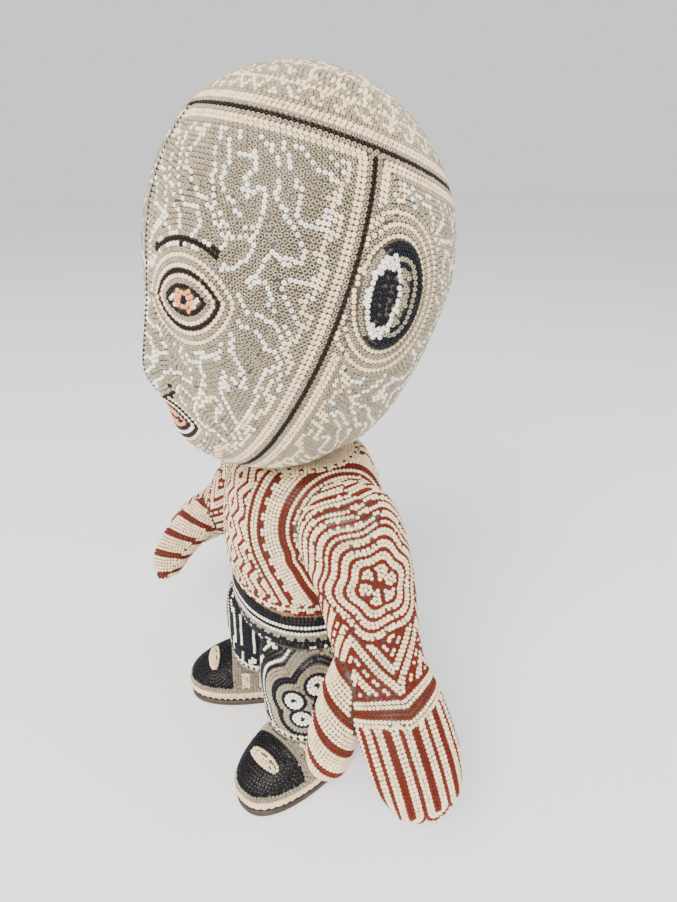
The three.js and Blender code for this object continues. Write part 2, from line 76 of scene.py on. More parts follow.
HEAD_Z = 270.0
HEAD_HALF_HEIGHT = 85.0
HEAD_HALF_WIDTH = 71.0
HEAD_FRONT = 70.0
HEAD_BACK = 68.0
HEAD_INSET = 0.7               # keeps the round nose and nape inside the CAD model's box
HEAD_ROUNDNESS = 2.2
JAW_FULLNESS = 2.0
CROWN_SEAM_Z, CROWN_SEAM_SLOPE = 324.5, 0.33
SIDE_SEAM_Z, SIDE_SEAM_SLOPE = 309.0, 0.37
NECK_RADIUS = 24.0
CHIN_Z = HEAD_Z - HEAD_HALF_HEIGHT
EYE_X, EYE_Z = 31.0, HEAD_Z    # the eyes stand at half height, their middles this far round the face
EYE_HALF_WIDTH, EYE_HALF_HEIGHT = 19.2, 12.0
LID_DEPTH, IRIS_DEPTH = 7.6, 7.2                # how far in the lid's rows end and the iris's rings begin
MOUTH_HALF_WIDTH, MOUTH_HALF_HEIGHT = 19.0, 7.0
SEAM_EDGE = 0.6                # rows may start this far outside an outline
NOSE_Z = (EYE_Z + CHIN_Z) / 2
MOUTH_Z = NOSE_Z - (NOSE_Z - CHIN_Z) / 3
EAR = {"y": 6.0, "z": 272.0, "half_width": 15.0, "half_height": 21.0, "lean": -0.28, "rise": 3.2}

WAIST_Z, BELT_FOOT_Z, HEM_Z, SOLE = 108.0, 90.0, 31.0, 4.0
WAIST_RADIUS = 44.0
SHOULDER_Z = 181.0
NECK_RING_RADIUS = 30.0
TORSO_ROUNDNESS = 2.2
LEG_X, LEG_Y = 28.5, -13.0
BOOT_X, BOOT_Y, BOOT_SPLAY = 33.0, -16.0, math.radians(18)
BOOT_FRONT = 51.0
BOOT_ROUNDNESS = 2.4
CAP_Y = -21.0                  # back edge of the toe cap
WELT_Z, WELT_TOP_Z = 4.4, 8.0
ARM_PIVOT = np.array([46.0, 0.0, 160.0])
ARM_INSET = 0.8                # keeps the round fingertips inside the CAD model's box
ARM_TURNS = {"left": (12, 3), "right": (-7, 9)}      # swing and lift in degrees

# Stations are x, y, z, half thickness, half depth
TORSO = [
    (0, -2, WAIST_Z - 6, 43.5, 37.5), (0, -3, 128, 46, 41), (0, -2, 150, 47, 41), (0, 0, 168, 45, 38),
    (0, 1, 180, 36, 32), (0, 1, SHOULDER_Z + 2.6, 28, 27), (0, 1, SHOULDER_Z + 2.9, 12, 12),
]
PELVIS = [(0, -5, 72, 36, 27), (0, -4, 82, 45, 36), (0, -3, 95, 46, 39), (0, -2, WAIST_Z + 6, 44, 38)]
ARM = [
    (31, -2, 156, 15, 19), (47, 0, 158, 24, 26), (59, -2, 138, 22, 24.5), (68, -7, 116, 20, 22.5),
    (79, -12, 99, 17.5, 21), (94, -15, 84, 16, 22.5), (107, -18, 67, 14, 22.5), (116, -20, 51, 10, 17),
    (120, -21, 43, 3, 6),
]
THUMB = [
    (72, -16, 110, 11, 11), (76, -32, 93, 12.5, 12.5), (77, -44, 76, 12.5, 12), (76, -51, 60, 10.5, 10),
    (75, -54, 51, 3, 3),
]
LEG = [
    (LEG_X, LEG_Y, HEM_Z - 6, 25, 25), (LEG_X, LEG_Y, 45, 26, 27), (LEG_X, LEG_Y + 1, 62, 27, 29),
    (LEG_X - 2, LEG_Y + 4, 80, 24, 30), (LEG_X - 4, LEG_Y + 6, 90, 17, 24),
]
# Boot levels are height, half width, toe reach, heel reach
BOOT = [
    (SOLE, 21, BOOT_FRONT - 2, 27), (9, 23, BOOT_FRONT, 29), (16, 22.5, BOOT_FRONT - 2, 29),
    (23, 20, BOOT_FRONT - 10, 27), (28, 17.5, BOOT_FRONT - 24, 25), (HEM_Z, 16, 20, 24),
]


# ---- Small maths ----
def bump(value, centre, width):
    return np.exp(-(((value - centre) / width) ** 2))


def zigzag(value):
    """Triangle wave from 0 to 1 with a period of 1."""
    return np.abs(value % 1.0 - 0.5) * 2


def blend_step(value, start, end):
    t = np.clip((value - start) / (end - start), 0, 1)
    return t * t * (3 - 2 * t)


def row_of(distance, gap=BODY_GAP):
    """The number of the bead row at a distance."""
    return np.floor(distance / gap).astype(int)


def unit(vectors):
    return vectors / np.maximum(np.linalg.norm(vectors, axis=-1, keepdims=True), 1e-9)


def mirror(points):
    return points * [-1, 1, 1]


def turn(points, degrees_x, degrees_y, pivot):
    about_x = Matrix.Rotation(math.radians(degrees_x), 3, "X")
    about_y = Matrix.Rotation(math.radians(degrees_y), 3, "Y")
    return (points - pivot) @ np.array(about_y @ about_x).T + pivot


def catmull(rows, amount):
    """Centripetal Catmull-Rom curve through the rows, at values from 0 to 1."""
    rows = np.array(rows, float)
    place = np.clip(amount, 0, 1) * (len(rows) - 1)
    index = np.minimum(place.astype(int), len(rows) - 2)
    weight = (place - index)[:, None]
    padded = np.vstack([2 * rows[0] - rows[1], rows, 2 * rows[-1] - rows[-2]])
    p0, p1, p2, p3 = (padded[index + i] for i in range(4))
    gap = lambda a, b: np.maximum(((b - a) ** 2).sum(1, keepdims=True) ** 0.25, 1e-4)
    d0, d1, d2 = gap(p0, p1), gap(p1, p2), gap(p2, p3)
    t1 = ((p1 - p0) / d0 - (p2 - p0) / (d0 + d1) + (p2 - p1) / d1) * d1
    t2 = ((p2 - p1) / d1 - (p3 - p1) / (d1 + d2) + (p3 - p2) / d2) * d1
    cube = 2 * p1 - 2 * p2 + t1 + t2
    square = -3 * p1 + 3 * p2 - 2 * t1 - t2
    return ((cube * weight + square) * weight + t1) * weight + p1


# ---- Skins ----
class Skin:
    """A fine triangle mesh with a normal at each vertex and named numbers over its vertices."""

    def __init__(self, points, faces):
        self.points = np.asarray(points, float)
        self.faces = np.asarray(faces, int)
        self.extras = np.zeros((len(self.points), 1))
        self.frames = {}
        self.refresh()

    def refresh(self):
        corners = self.points[self.faces]
        area = np.cross(corners[:, 1] - corners[:, 0], corners[:, 2] - corners[:, 0])
        normals = np.zeros_like(self.points)
        for corner in range(3):
            np.add.at(normals, self.faces[:, corner], area)
        self.normals = unit(normals)

    def wraps(self, faces):
        """Faces over the line where the way round, the first extra, jumps from one end to the other."""
        around = self.extras[faces, 0]
        return np.ptp(around, axis=1) > 20


def grid_faces(rings, around):
    i, j = np.meshgrid(np.arange(rings - 1), np.arange(around), indexing="ij")
    a = (i * around + j).ravel()
    b = (i * around + (j + 1) % around).ravel()
    return np.vstack([np.stack([a, b, b + around], 1), np.stack([a, b + around, a + around], 1)])


def fan(tip, ring, around):
    """Faces from a tip to the ring of points that starts at an index."""
    j = np.arange(around)
    return np.stack([np.full(around, tip), ring + j, ring + (j + 1) % around], 1)


def outline(around, exponent, facing=0.0):
    """Angles round a limb, and a rounded square's two ways across at each."""
    angle = np.linspace(-np.pi, np.pi, around, endpoint=False)
    c, s = np.cos(angle + facing), np.sin(angle + facing)
    scale = (np.abs(c) ** exponent + np.abs(s) ** exponent) ** (-1 / exponent)
    return angle, c, s, scale


def loft(stations, rings, around, exponent=2.0, facing=0.0):
    """A limb's skin. Extras are the way round from the facing angle, the way along, and the angle."""
    stations = np.array(stations, float)
    amount = np.linspace(0, 1, rings)
    centres = catmull(stations[:, :3], amount)
    sizes = np.maximum(catmull(stations[:, 3:], amount), 0.5)
    step = 1e-3
    tangents = unit(catmull(stations[:, :3], amount + step) - catmull(stations[:, :3], amount - step))
    across = unit(np.cross([0.0, 1.0, 0.0], tangents))
    depth = np.cross(tangents, across)
    angle, c, s, scale = outline(around, exponent, facing)
    ring = (centres[:, None] + across[:, None] * (sizes[:, :1] * c * scale)[..., None]
            + depth[:, None] * (sizes[:, 1:] * s * scale)[..., None])
    arc = np.cumsum(np.linalg.norm(np.diff(ring, axis=1, append=ring[:, :1]), axis=2), axis=1)
    arc = np.c_[np.zeros(rings), arc[:, :-1]]
    arc -= arc[:, [around // 2]]
    length = np.r_[0, np.cumsum(np.linalg.norm(np.diff(centres, axis=0), axis=1))]
    end = rings * around
    lower, upper = fan(end, 0, around)[:, [0, 2, 1]], fan(end + 1, end - around, around)
    faces = np.vstack([grid_faces(rings, around), lower, upper])
    skin = Skin(np.vstack([ring.reshape(-1, 3), centres[[0, -1]]]), faces)
    extras = np.stack([arc.ravel(), np.repeat(length, around), np.tile(angle, rings)], 1)
    skin.extras = np.vstack([extras, [[0, 0, 0], [0, length[-1], 0]]])
    skin.frames = {"centres": centres, "across": across, "depth": depth}
    skin.sizes, skin.exponent = sizes, exponent
    return skin


def within(points, skin, share=1.0):
    """Whether points lie inside a limb, or inside a share of its thickness."""
    centres, across, depth = skin.frames.values()
    tangents = np.cross(across, depth)
    gaps = np.linalg.norm(np.diff(centres, axis=0), axis=1)
    half = np.r_[gaps, gaps[-1:]][None] * 0.6
    exponent = skin.exponent
    found = np.zeros(len(points), bool)
    for part in np.array_split(np.arange(len(points)), 1 + len(points) // 2000):
        offset = points[part][:, None] - centres[None]
        a = np.abs((offset * across).sum(2)) / (skin.sizes[:, 0] * share)
        d = np.abs((offset * depth).sum(2)) / (skin.sizes[:, 1] * share)
        t = np.abs((offset * tangents).sum(2))
        found[part] = ((a**exponent + d**exponent < 1) & (t < half)).any(1)
    return found


def head_surface(polar, around):
    height = np.cos(polar)
    jaw = np.maximum(0, -height)
    x, y = np.sin(around), -np.cos(around)
    exponent = HEAD_ROUNDNESS + JAW_FULLNESS * jaw * np.maximum(0, -y)
    ring = np.maximum(1 - np.abs(height) ** exponent, 0) ** (1 / exponent)
    width = HEAD_HALF_WIDTH * (1 - 0.12 * jaw**2)
    back = HEAD_BACK + 5 * np.sin(np.pi * (height + 0.1)) - 18 * jaw
    depth = np.where(y < 0, HEAD_FRONT, back) - HEAD_INSET
    z = HEAD_Z + HEAD_HALF_HEIGHT * height + 0 * x
    facing = np.maximum(0, -y) ** 2
    nose = (6 * facing * bump(z, NOSE_Z + 6, 13) * bump(x, 0, 0.2)
            + 4 * facing * bump(z, NOSE_Z + 22, 18) * bump(x, 0, 0.17))
    chin = 3 * facing * bump(z, CHIN_Z + 18, 12) * bump(x, 0, 0.3)
    return np.stack([width * x * ring, depth * y * ring - (nose + chin) * ring, z], -1)


def head_skin(rings, around):
    polar = np.linspace(math.pi - 0.05, 0.004, rings)
    angle = np.linspace(0, 2 * np.pi, around, endpoint=False)
    grid = head_surface(polar[:, None], angle[None]).reshape(-1, 3)
    top = head_surface(np.array([0.0]), np.array([0.0]))
    lid = fan(len(grid), len(grid) - around, around)
    skin = Skin(np.vstack([grid, top]), np.vstack([grid_faces(rings, around), lid]))
    rise = EAR["rise"] * (1 - blend_step(ears_distance(skin.points), -4.0, 0.5))
    skin.points = skin.points + skin.normals * rise[:, None]
    skin.refresh()
    return skin


def ear_frame(points):
    """Points in the left ear's own axes: forward, upward, and outward."""
    c, s = math.cos(EAR["lean"]), math.sin(EAR["lean"])
    y, z = points[:, 1] - EAR["y"], points[:, 2] - EAR["z"]
    return c * y + s * z, -s * y + c * z, points[:, 0]


def ear_distance(points):
    """Rough distance outside the left ear's outline, negative inside it."""
    forward, upward, outward = ear_frame(points)
    reach = np.hypot(forward / EAR["half_width"], upward / EAR["half_height"])
    size = np.hypot(forward, upward)
    outside = np.where(reach > 1e-6, size * (1 - 1 / np.maximum(reach, 1e-6)), -EAR["half_width"])
    return np.where(outward > 30, outside, 99.0)


def ears_distance(points):
    return np.minimum(ear_distance(points), ear_distance(mirror(points)))


def arm_place(side):
    swing, lift = ARM_TURNS[side]
    swung = lambda points: turn(points, swing, -lift, ARM_PIVOT) - [ARM_INSET, 0, 0]
    return swung if side == "left" else lambda points: mirror(swung(points))


# ---- Laying beads ----
NEAREST = 0.82                 # closest that beads in rows may lie, in pitches
SQUEEZED = 0.72                # closest that beads squeezed in afterwards may lie


class Beads:
    """Beads laid so far on one skin, with a cell grid that keeps them apart."""

    def __init__(self, skin, pitch):
        self.skin, self.pitch = skin, pitch
        self.cells = {}
        self.laid = []

    def near(self, point, reach):
        cx, cy, cz = (int(math.floor(value / self.pitch)) for value in point)
        limit = reach * reach
        for ix in (cx - 1, cx, cx + 1):
            for iy in (cy - 1, cy, cy + 1):
                for iz in (cz - 1, cz, cz + 1):
                    for x, y, z in self.cells.get((ix, iy, iz), ()):
                        if (x - point[0]) ** 2 + (y - point[1]) ** 2 + (z - point[2]) ** 2 < limit:
                            return True
        return False

    def lay(self, point, normal, extras, region, step):
        key = tuple(int(math.floor(value / self.pitch)) for value in point)
        self.cells.setdefault(key, []).append(tuple(point))
        self.laid.append((point, normal, extras, region, step))

    def finished(self):
        self.points, self.normals, self.extras, self.region, self.step = map(np.array, zip(*self.laid))
        return self


def chains(skin, field, level, faces):
    """The lines where a field has one value, as arrays of points, normals and the skin's own numbers."""
    side = field[faces] > level
    crossing = side.any(1) & ~side.all(1)
    faces, side = faces[crossing], side[crossing]
    edges, members = {}, []
    for triangle, flags in zip(faces.tolist(), side.tolist()):
        pair = []
        for a, b in ((0, 1), (1, 2), (2, 0)):
            if flags[a] != flags[b]:
                key = (min(triangle[a], triangle[b]), max(triangle[a], triangle[b]))
                pair.append(edges.setdefault(key, len(edges)))
        members.append(pair)
    if not edges:
        return []
    pairs = np.array(list(edges))
    weight = ((level - field[pairs[:, 0]]) / (field[pairs[:, 1]] - field[pairs[:, 0]]))[:, None]
    mix = lambda data: data[pairs[:, 0]] * (1 - weight) + data[pairs[:, 1]] * weight
    table = np.hstack([mix(skin.points), unit(mix(skin.normals)), mix(skin.extras)])
    links = [[] for _ in edges]
    for a, b in members:
        links[a].append(b)
        links[b].append(a)
    used = [False] * len(links)
    found = []
    open_ends = [i for i, link in enumerate(links) if len(link) == 1]
    for start in open_ends + list(range(len(links))):
        if used[start]:
            continue
        line, here = [start], start
        used[start] = True
        while True:
            onward = [n for n in links[here] if not used[n]]
            if not onward:
                break
            here = onward[0]
            used[here] = True
            line.append(here)
        if len(line) > 2 and line[-1] in links[start]:
            line.append(start)
        found.append(table[line])
    return found


def lay_line(beads, field, level, mask, region, row=0):
    """Lays one row of beads where the field has the given value, inside the mask."""
    skin, pitch = beads.skin, beads.pitch
    faces = skin.faces[mask[skin.faces].all(1)]
    if not len(faces):
        return
    inside = field[faces]
    near = faces[(inside.min(1) <= level) & (inside.max(1) > level) & ~skin.wraps(faces)]
    for table in chains(skin, field, level, near):
        length = np.r_[0, np.cumsum(np.linalg.norm(np.diff(table[:, :3], axis=0), axis=1))]
        count = int(round(length[-1] / pitch))
        if count < 1:
            continue
        wanted = (np.arange(count) + (0.25 if row % 2 else 0.75)) * length[-1] / count
        laid = np.stack([np.interp(wanted, length, column) for column in table.T], 1)
        laid[:, 3:6] = unit(laid[:, 3:6])
        for step, values in enumerate(laid.tolist()):
            if not beads.near(values[:3], pitch * NEAREST):
                beads.lay(values[:3], values[3:6], values[6:], region, step)


def lay_rows(beads, field, mask, region):
    """Lays rows of beads along the field's lines, the first half a row from where the field is 0."""
    inside = field[mask]
    if not len(inside):
        return
    gap = beads.pitch * ROW_GAP
    for row in range(int(math.floor(inside.min() / gap)), int(math.ceil(inside.max() / gap)) + 1):
        lay_line(beads, field, (row + 0.5) * gap + 1e-4, mask, region, row)


def fill_gaps(beads, mask, region):
    """Puts beads wherever the skin is still bare, in the widest gaps first."""
    skin = beads.skin
    faces = skin.faces[mask[skin.faces].all(1)]
    faces = faces[~skin.wraps(faces)]
    if not len(faces):
        return
    mix = lambda data: np.vstack([data[mask], data[faces].mean(1)])
    points, normals, extras = mix(skin.points), unit(mix(skin.normals)), mix(skin.extras)
    bare = distance_to(points, [bead[0] for bead in beads.laid])
    wide = np.flatnonzero(bare > beads.pitch * SQUEEZED)
    for index in wide[np.argsort(-bare[wide])]:
        point = points[index].tolist()
        if not beads.near(point, beads.pitch * SQUEEZED):
            beads.lay(point, normals[index].tolist(), extras[index].tolist(), region, 0)


def cover(beads, field, mask, region):
    """Rows along a field's lines, then beads squeezed in wherever the rows leave room."""
    lay_rows(beads, field, mask, region)
    fill_gaps(beads, mask, region)


# ---- Colours of bead glass ----
GLASS = {
    # base colour, metallic, roughness, coat, shine, hole radius in pitches, record slot
    "silver": ((0.38, 0.325, 0.215), 0.20, 0.20, 0.4, 0.5, 0.24, "silver_beads"),
    "white": ((0.95, 0.89, 0.74), 0.0, 0.25, 0.4, 0.5, 0.13, "cream_beads"),
    "cream": ((0.93, 0.73, 0.46), 0.0, 0.32, 0.2, 0.5, 0.13, "cream_beads"),
    "brick": ((0.13, 0.011, 0.002), 0.0, 0.30, 0.0, 0.2, 0.13, "brick_beads"),
    "brown": ((0.010, 0.003, 0.001), 0.0, 0.28, 0.0, 0.2, 0.16, "brown_beads"),
    "navy": ((0.003, 0.004, 0.008), 0.0, 0.26, 0.0, 0.2, 0.16, "navy_beads"),
    "peach": ((0.88, 0.36, 0.15), 0.0, 0.30, 0.2, 0.4, 0.15, "peach_beads"),
}
SHADES = (
    # how much red, green and blue each shade keeps, its change in roughness, and its share of the beads
    (1.0, 1.0, 1.0, 0.0, 0.46), (0.86, 0.80, 0.74, 0.05, 0.22), (1.10, 1.05, 0.98, -0.04, 0.20),
    (0.96, 0.98, 1.06, 0.02, 0.12),
)
# keeps each piece's mesh light enough to be exported whole
BEADS_PER_PIECE = 3000         # most beads in one piece's mesh; more are split into further pieces
COLOURS = list(GLASS)
SILVER, WHITE, CREAM, BRICK, BROWN, NAVY, PEACH = range(len(COLOURS))


def principled(name):
    material = bpy.data.materials.new(name)
    material.use_nodes = True
    return material, material.node_tree.nodes["Principled BSDF"], material.node_tree


def glass_materials():
    made = {}
    for colour, (base, metallic, roughness, coat, shine, _, _) in GLASS.items():
        for shade, (red, green, blue, rougher, _) in enumerate(SHADES):
            made[colour, shade], shader, _ = principled(f"{colour}_glass_{shade + 1}")
            tint = np.minimum(np.array(base) * (red, green, blue), 1)
            settings = {
                "Base Color": (*tint, 1), "Metallic": metallic, "Roughness": roughness + rougher,
                "IOR": 1.52, "Specular IOR Level": shine, "Coat Weight": coat, "Coat Roughness": 0.08,
            }
            for name, value in settings.items():
                shader.inputs[name].default_value = value
    return made


def noise_surface(name, low, high, scale, roughness, relief_depth, stretch=(1, 1, 1)):
    """Surface whose colour wanders between two tones, with a fine relief."""
    material, shader, tree = principled(name)
    kinds = "TexCoord", "Mapping", "TexNoise", "ValToRGB", "Bump"
    place, mapping, noise, ramp, relief = (tree.nodes.new(f"ShaderNode{kind}") for kind in kinds)
    mapping.inputs["Scale"].default_value = stretch
    noise.inputs["Scale"].default_value = scale
    noise.inputs["Detail"].default_value = 6
    for element, position, tone in zip(ramp.color_ramp.elements, (0.35, 0.65), (low, high)):
        element.position = position
        element.color = (*tone, 1)
    relief.inputs["Strength"].default_value = 0.4
    relief.inputs["Distance"].default_value = relief_depth
    shader.inputs["Roughness"].default_value = roughness
    for giver, output, taker, socket in (
        (place, "Object", mapping, "Vector"), (mapping, "Vector", noise, "Vector"),
        (noise, "Fac", ramp, "Fac"), (ramp, "Color", shader, "Base Color"),
        (noise, "Fac", relief, "Height"), (relief, "Normal", shader, "Normal"),
    ):
        tree.links.new(giver.outputs[output], taker.inputs[socket])
    return material


# ---- Meshes ----
def bead_template(hole, segments=8):
    """One bead lying flat, as a ring of glass: radii in pitches, heights in bead heights above its seat."""
    profile = [(hole - 0.02, 0.25), (hole, 0.86), (0.12 + hole * 0.95, 1.0), (0.445, 0.78), (0.50, 0.30)]
    angle = np.linspace(0, 2 * np.pi, segments, endpoint=False)
    rings = [np.stack([r * np.cos(angle), r * np.sin(angle), np.full(segments, z)], 1) for r, z in profile]
    quads = []
    for band in range(len(profile) - 1):
        for j in range(segments):
            k = (j + 1) % segments
            quads.append((band * segments + j, (band + 1) * segments + j,
                          (band + 1) * segments + k, band * segments + k))
    return np.vstack(rings), np.array(quads)[:, ::-1]


def fast_mesh(name, points, quads, material_index=None):
    mesh = bpy.data.meshes.new(name)
    mesh.vertices.add(len(points))
    mesh.vertices.foreach_set("co", (points / 1000).astype(np.float32).ravel())
    sides = quads.shape[1]
    mesh.loops.add(quads.size)
    mesh.loops.foreach_set("vertex_index", quads.astype(np.int32).ravel())
    mesh.polygons.add(len(quads))
    mesh.polygons.foreach_set("loop_start", np.arange(0, quads.size, sides, dtype=np.int32))
    mesh.polygons.foreach_set("use_smooth", np.ones(len(quads), bool))
    if material_index is not None:
        mesh.polygons.foreach_set("material_index", material_index.astype(np.int32))
    mesh.update(calc_edges=True)
    mesh.validate()
    made = bpy.data.objects.new(name, mesh)
    bpy.context.scene.collection.objects.link(made)
    return made


def bead_piece(name, points, normals, colour, pitch, body, replaced):
    """One object with beads of one colour in one region."""
    template, quads = bead_template(GLASS[colour][-2])
    count = len(points)
    tilt = rng.normal(0, 0.07, (count, 3))
    up = unit(normals + tilt)
    side = unit(np.cross(up, rng.normal(0, 1, (count, 3))))
    front = np.cross(up, side)
    size = pitch * rng.uniform(0.94, 1.03, count)
    height = BEAD_HEIGHT * rng.uniform(0.92, 1.0, count)
    seat = points - normals * (BEAD_HEIGHT + rng.uniform(0, 0.12, (count, 1)))
    across, ahead, above = (template[None, :, axis:axis + 1] for axis in range(3))
    world = (seat[:, None] + side[:, None] * (across * size[:, None, None])
             + front[:, None] * (ahead * size[:, None, None])
             + up[:, None] * (above * height[:, None, None]))
    faces = (quads[None] + (np.arange(count) * len(template))[:, None, None]).reshape(-1, 4)
    shade = np.repeat(rng.choice(len(SHADES), count, p=[row[-1] for row in SHADES]), len(quads))
    made = fast_mesh(name, world.reshape(-1, 3) + AXIS, faces, shade)
    for index in range(len(SHADES)):
        made.data.materials.append(glass[colour, index])
    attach(made, body)
    if replaced:
        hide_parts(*replaced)
    return made


def bead_pieces(beads, names, colours, pitch, body):
    """Splits laid beads by CAD node and colour; the commonest colour's piece stands for the node."""
    for node in np.unique(names):
        kinds, counts = np.unique(colours[names == node], return_counts=True)
        for order, kind in enumerate(kinds[np.argsort(-counts)]):
            chosen = np.flatnonzero((names == node) & (colours == kind))
            for part in range(0, len(chosen), BEADS_PER_PIECE):
                some = chosen[part:part + BEADS_PER_PIECE]
                number = part // BEADS_PER_PIECE + 1
                bead_piece(f"{node}_{COLOURS[kind]}_{number}", beads.points[some], beads.normals[some],
                           COLOURS[kind], pitch, body, (str(node),) if order == 0 and part == 0 else ())


def wax_piece(name, skin, mask, body, replaced):
    """The wax that shows between the beads, just under their tops."""
    faces = skin.faces[mask[skin.faces].all(1)]
    used, packed = np.unique(faces, return_inverse=True)
    points = skin.points[used] - skin.normals[used] * SEATING
    made = fast_mesh(name, points + AXIS, packed.reshape(-1, 3))
    made.data.materials.append(wax)
    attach(made, body)
    if replaced:
        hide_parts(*replaced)
    return made


# ---- Materials ----
glass = glass_materials()
wax = noise_surface("wax", (0.028, 0.020, 0.013), (0.075, 0.052, 0.030), 160, 0.5, 0.0004)
GRAIN = (6, 6, 0.6)            # wood grain runs up the dowels
cad_surfaces = {
    "resin": noise_surface("resin", (0.11, 0.080, 0.050), (0.17, 0.125, 0.080), 40, 0.5, 0.0002),
    "wood": noise_surface("turned_wood", (0.42, 0.26, 0.13), (0.62, 0.43, 0.25), 60, 0.6, 0.0003, GRAIN),
    "sole": noise_surface("sole_leather", (0.030, 0.015, 0.010), (0.060, 0.030, 0.020), 220, 0.55, 0.0003),
}
for node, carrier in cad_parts.items():
    kind = "sole" if node.endswith("_sole") else "wood" if node.endswith(("_core", "_dowel")) else "resin"
    for index in range(len(carrier.data.materials)):
        carrier.data.materials[index] = cad_surfaces[kind]


def pick(rules, colours):
    """The colour of the first rule that holds at each bead, or the given colours where none does."""
    for holds, colour in reversed(rules):
        colours = np.where(holds, colour, colours)
    return colours.astype(int)


def table(rows, index, beyond):
    """Looks up row numbers in a list of colours."""
    return np.where(index < len(rows), np.array(rows)[np.clip(index, 0, len(rows) - 1)], beyond)


def distance_to(points, targets):
    tree = KDTree(len(targets))
    for index, target in enumerate(targets):
        tree.insert(target, index)
    tree.balance()
    return np.array([tree.find(point)[2] for point in points])


def on_surface(distance, radius=72.0):
    """The way along a round surface for a straight distance."""
    return 2 * radius * np.arcsin(np.clip(distance / (2 * radius), 0, 0.999))


def depth_outside(points, skin):
    """Distance outside another limb's skin, negative inside it."""
    tree = BVHTree.FromPolygons(skin.points.tolist(), skin.faces.tolist())
    reach = np.array([tree.find_nearest(Vector(point))[3] for point in points])
    return np.where(within(points, skin), -reach, reach)


# ---- Head ----
def crown_height(points):
    return (points[:, 2] - CROWN_SEAM_Z + CROWN_SEAM_SLOPE * points[:, 1]) / math.hypot(1, CROWN_SEAM_SLOPE)


def side_depth(points):
    return (points[:, 1] - (points[:, 2] - SIDE_SEAM_Z) * SIDE_SEAM_SLOPE) / math.hypot(1, SIDE_SEAM_SLOPE)


def almond(across, upward, half_width, half_height):
    """Distance outside an almond with a point at each end."""
    radius = (half_width**2 + half_height**2) / (2 * half_height)
    return np.hypot(np.abs(across), np.abs(upward) + radius - half_height) - radius


def face_frame(points):
    """Way round the face from its middle, and height."""
    return HEAD_HALF_WIDTH * np.arctan2(points[:, 0], -points[:, 1]), points[:, 2]


def eye_distance(points):
    across, upward = face_frame(points)
    outside = almond(np.abs(across) - EYE_X, upward - EYE_Z, EYE_HALF_WIDTH, EYE_HALF_HEIGHT)
    return np.where(points[:, 1] < 0, outside, 99.0)


def iris_distance(points):
    across, upward = face_frame(points)
    return np.hypot(np.abs(across) - EYE_X, upward - EYE_Z)


def mouth_distance(points):
    across, upward = face_frame(points)
    outside = almond(across, upward - MOUTH_Z, MOUTH_HALF_WIDTH, MOUTH_HALF_HEIGHT)
    return np.where(points[:, 1] < 0, outside, 99.0)


def scrolls(a, b, size):
    """Rough distance from the nearest of a winding family of lines over two ways across a surface."""
    def wave(a, b):
        bent = a + 1.1 * np.sin(b * 0.83 + 1.3)
        other = b + 1.1 * np.sin(a * 0.71 + 0.4)
        return np.sin(bent) * np.cos(other) + 0.55 * np.sin(bent * 0.57 + other * 1.13)

    a, b, step = a / size, b / size, 0.02
    here = wave(a, b)
    slope = np.hypot(wave(a + step, b) - here, wave(a, b + step) - here) / step
    return np.abs(here) / (slope + 0.15) * size


def seam_ways(points, seams):
    """Ways over the surface to the crown seam and to the nearer side seam."""
    return (on_surface(distance_to(points, seams[name])) for name in ("crown_seam", "seam"))


def lay_head():
    skin = head_skin(210, 330)
    points = skin.points
    crown, side = crown_height(points), side_depth(points)
    eye, mouth = eye_distance(points), mouth_distance(points)
    ear = ears_distance(points)
    lies = (np.hypot(points[:, 0], points[:, 1]) > NECK_RADIUS + SEAM_EDGE) | (points[:, 2] > HEAD_Z)
    seam = BEAD_PITCH / 2
    beads = Beads(skin, BEAD_PITCH)
    below = lies & (crown < 0)
    lay_line(beads, crown, 0.0, lies, "crown_seam")
    lay_line(beads, side, 0.0, lies & (crown < -seam * 1.5), "seam")
    centre_mask = (points[:, 1] < 0) & (crown < -seam * 1.5) & (mouth > 3.5) & (points[:, 2] > MOUTH_Z)
    lay_line(beads, points[:, 0], 0.0, centre_mask, "centre_seam")
    beads.seams = {region: [] for region in ("crown_seam", "seam", "centre_seam")}
    for point, _, _, region, _ in beads.laid:
        beads.seams[region].append(point)
    to_crown, to_side = seam_ways(points, beads.seams)
    to_centre = np.where(points[:, 1] < 0, distance_to(points, beads.seams["centre_seam"]), 99.0)
    lay_rows(beads, -eye, lies & (eye < SEAM_EDGE) & (eye > -LID_DEPTH), "eye")
    lay_rows(beads, iris_distance(points), eye < -IRIS_DEPTH, "eye")
    fill_gaps(beads, eye < -1, "eye")
    lay_rows(beads, -mouth, lies & (mouth < SEAM_EDGE), "mouth")
    lay_rows(beads, -ear, lies & (ear < SEAM_EDGE), "ear")
    face = below & (side < 0) & (eye > -1) & (mouth > -1)
    near_seams = np.minimum(np.minimum(to_side, to_crown), to_centre) - seam
    lay_rows(beads, np.minimum(np.minimum(near_seams, eye), mouth), face, "face")
    rear = below & (side > 0) & (ear > -1)
    lay_rows(beads, np.minimum(np.minimum(to_side, to_crown) - seam, ear), rear, "rear")
    lay_rows(beads, to_crown - seam, lies & (crown > 0), "crown")
    bare = {"face": face, "rear": rear, "crown": lies & (crown > 0), "mouth": mouth < -1, "ear": ear < -1}
    for region, mask in bare.items():
        fill_gaps(beads, mask, region)
    return beads.finished()


